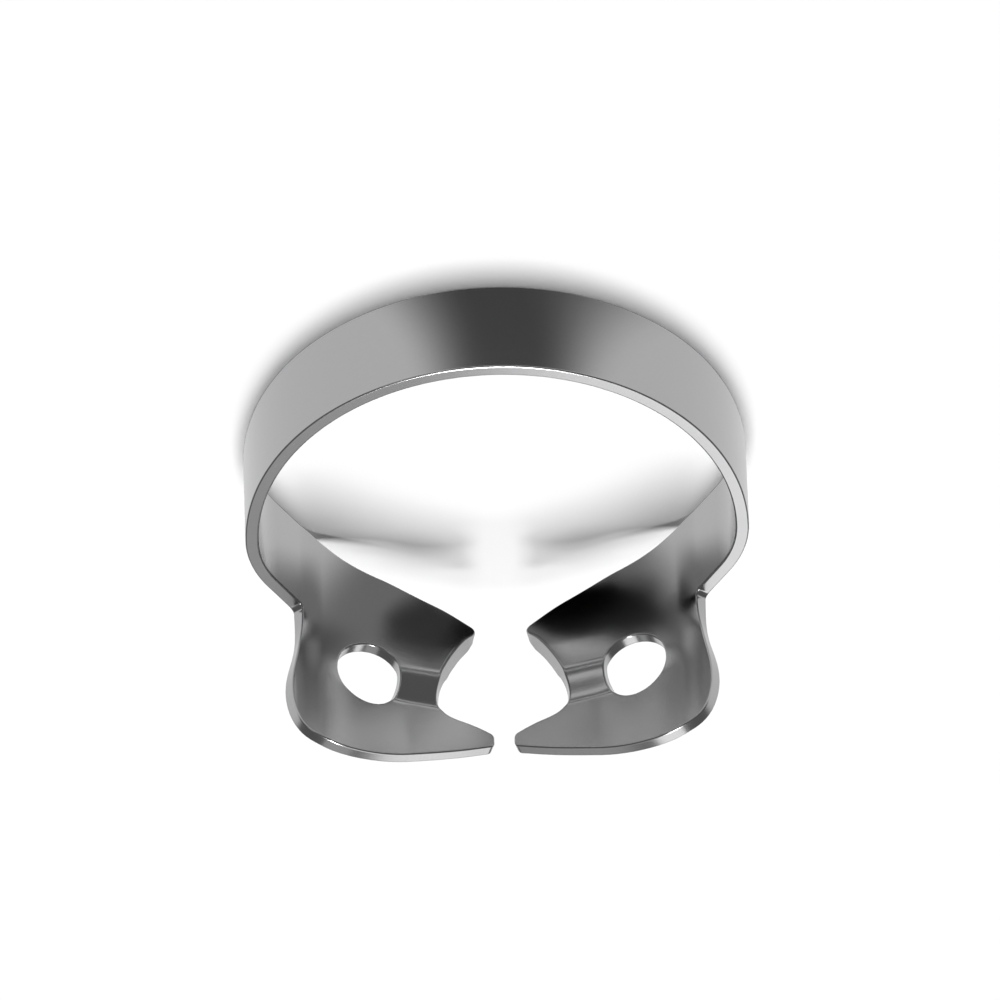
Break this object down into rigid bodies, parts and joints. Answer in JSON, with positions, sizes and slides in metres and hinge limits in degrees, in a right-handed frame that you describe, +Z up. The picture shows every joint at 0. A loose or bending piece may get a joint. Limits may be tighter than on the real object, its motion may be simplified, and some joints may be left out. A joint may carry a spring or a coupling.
{
  "type": "wingless dental rubber dam clamp",
  "caption": "Sprung steel dental clamp bent from one strip: a round bow that carries two formed jaws, each with a tooth cut between two prongs and a forceps hole.",
  "frame": {"origin": "centre of the bounding box at its base: the clamp lies on the flat rear edge of its bow", "axes": "+X across the clamp from jaw to jaw, +Y from the top of the bow to the jaws, +Z up along the width of the strip"},
  "size_m": [0.026, 0.0228, 0.0141],
  "materials": {
    "spring_steel": "satin polished spring steel with softened edges"
  },
  "bodies": {
    "root": {"dam_clamp": "spring_steel"}
  },
  "joints": []
}
